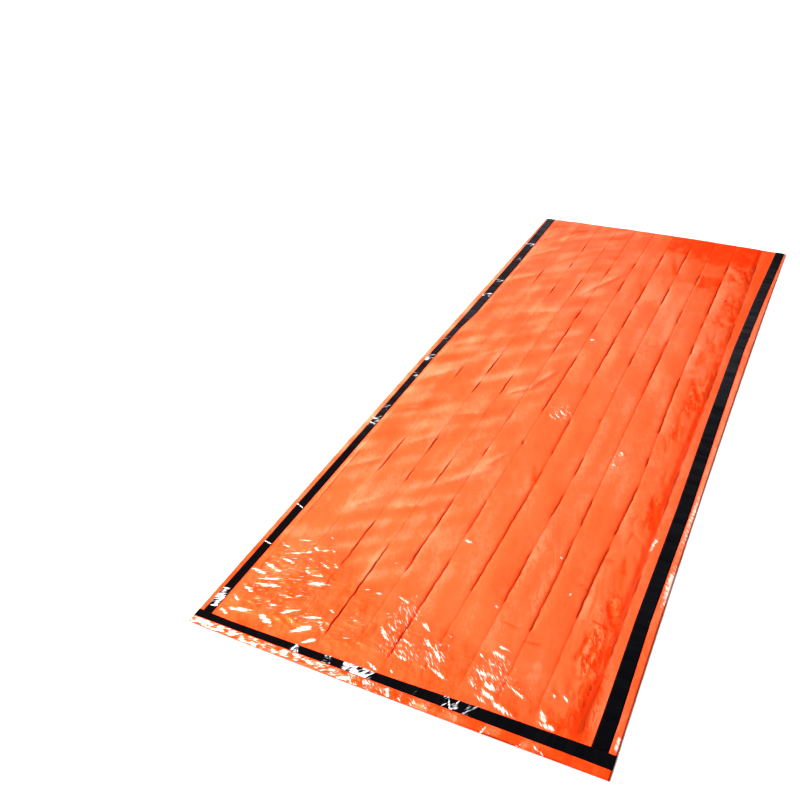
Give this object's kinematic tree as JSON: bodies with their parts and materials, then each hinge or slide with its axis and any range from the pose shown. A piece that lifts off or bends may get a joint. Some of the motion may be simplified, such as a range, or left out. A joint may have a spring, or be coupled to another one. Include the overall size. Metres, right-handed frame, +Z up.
{
  "type": "emergency sleeping bag",
  "caption": "Emergency sleeping bag of orange film laid out flat, crease lines along it, black tape sealing both sides and the foot, and its mouth open.",
  "frame": {"origin": "middle of the outline, on the ground under the bag", "axes": "+Y along the bag from the foot to the open mouth, +X across it, +Z up from the ground"},
  "size_m": [0.9168, 2.165, 0.0059],
  "materials": {
    "orange_film": "glossy metallised film, creased",
    "black_tape": "satin black tape"
  },
  "bodies": {
    "root": {"lower_panel": "orange_film", "upper_panel": "orange_film", "side_tape_left": "black_tape", "side_tape_right": "black_tape", "foot_tape": "black_tape"}
  },
  "joints": []
}
